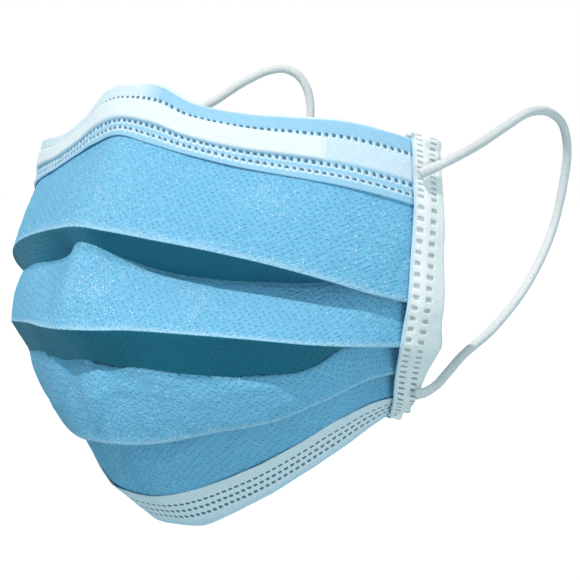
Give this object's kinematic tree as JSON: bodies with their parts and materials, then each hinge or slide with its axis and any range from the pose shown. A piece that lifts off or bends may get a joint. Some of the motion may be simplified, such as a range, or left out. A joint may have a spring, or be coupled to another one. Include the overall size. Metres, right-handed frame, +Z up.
{
  "type": "surgical face mask",
  "caption": "Pleated three-layer cloth mask in the form it keeps on a face, with hemmed top and bottom edges, a nose wire, taped sides and two elastic ear loops.",
  "frame": {"origin": "On the inner face of the top edge at the middle, where the mask sits on the bridge of the nose", "axes": "+Z up, -Y the way the wearer looks, +X the wearer's left"},
  "size_m": [0.1434, 0.1249, 0.115],
  "materials": {
    "outer_cloth": "matt spunbond cloth, blue outside and white inside",
    "hem_cloth": "matt spunbond cloth with weld dots, white where it lies over the wire",
    "tape": "matt white spunbond tape with weld windows",
    "elastic": "matt white knitted elastic",
    "wire": "matt white plastic over a soft wire"
  },
  "bodies": {
    "root": {"mask_body": "outer_cloth", "top_hem": "hem_cloth", "bottom_hem": "hem_cloth", "nose_wire": "wire", "side_binding_left": "tape", "side_binding_right": "tape", "ear_loop_left": "elastic", "ear_loop_right": "elastic"}
  },
  "joints": []
}
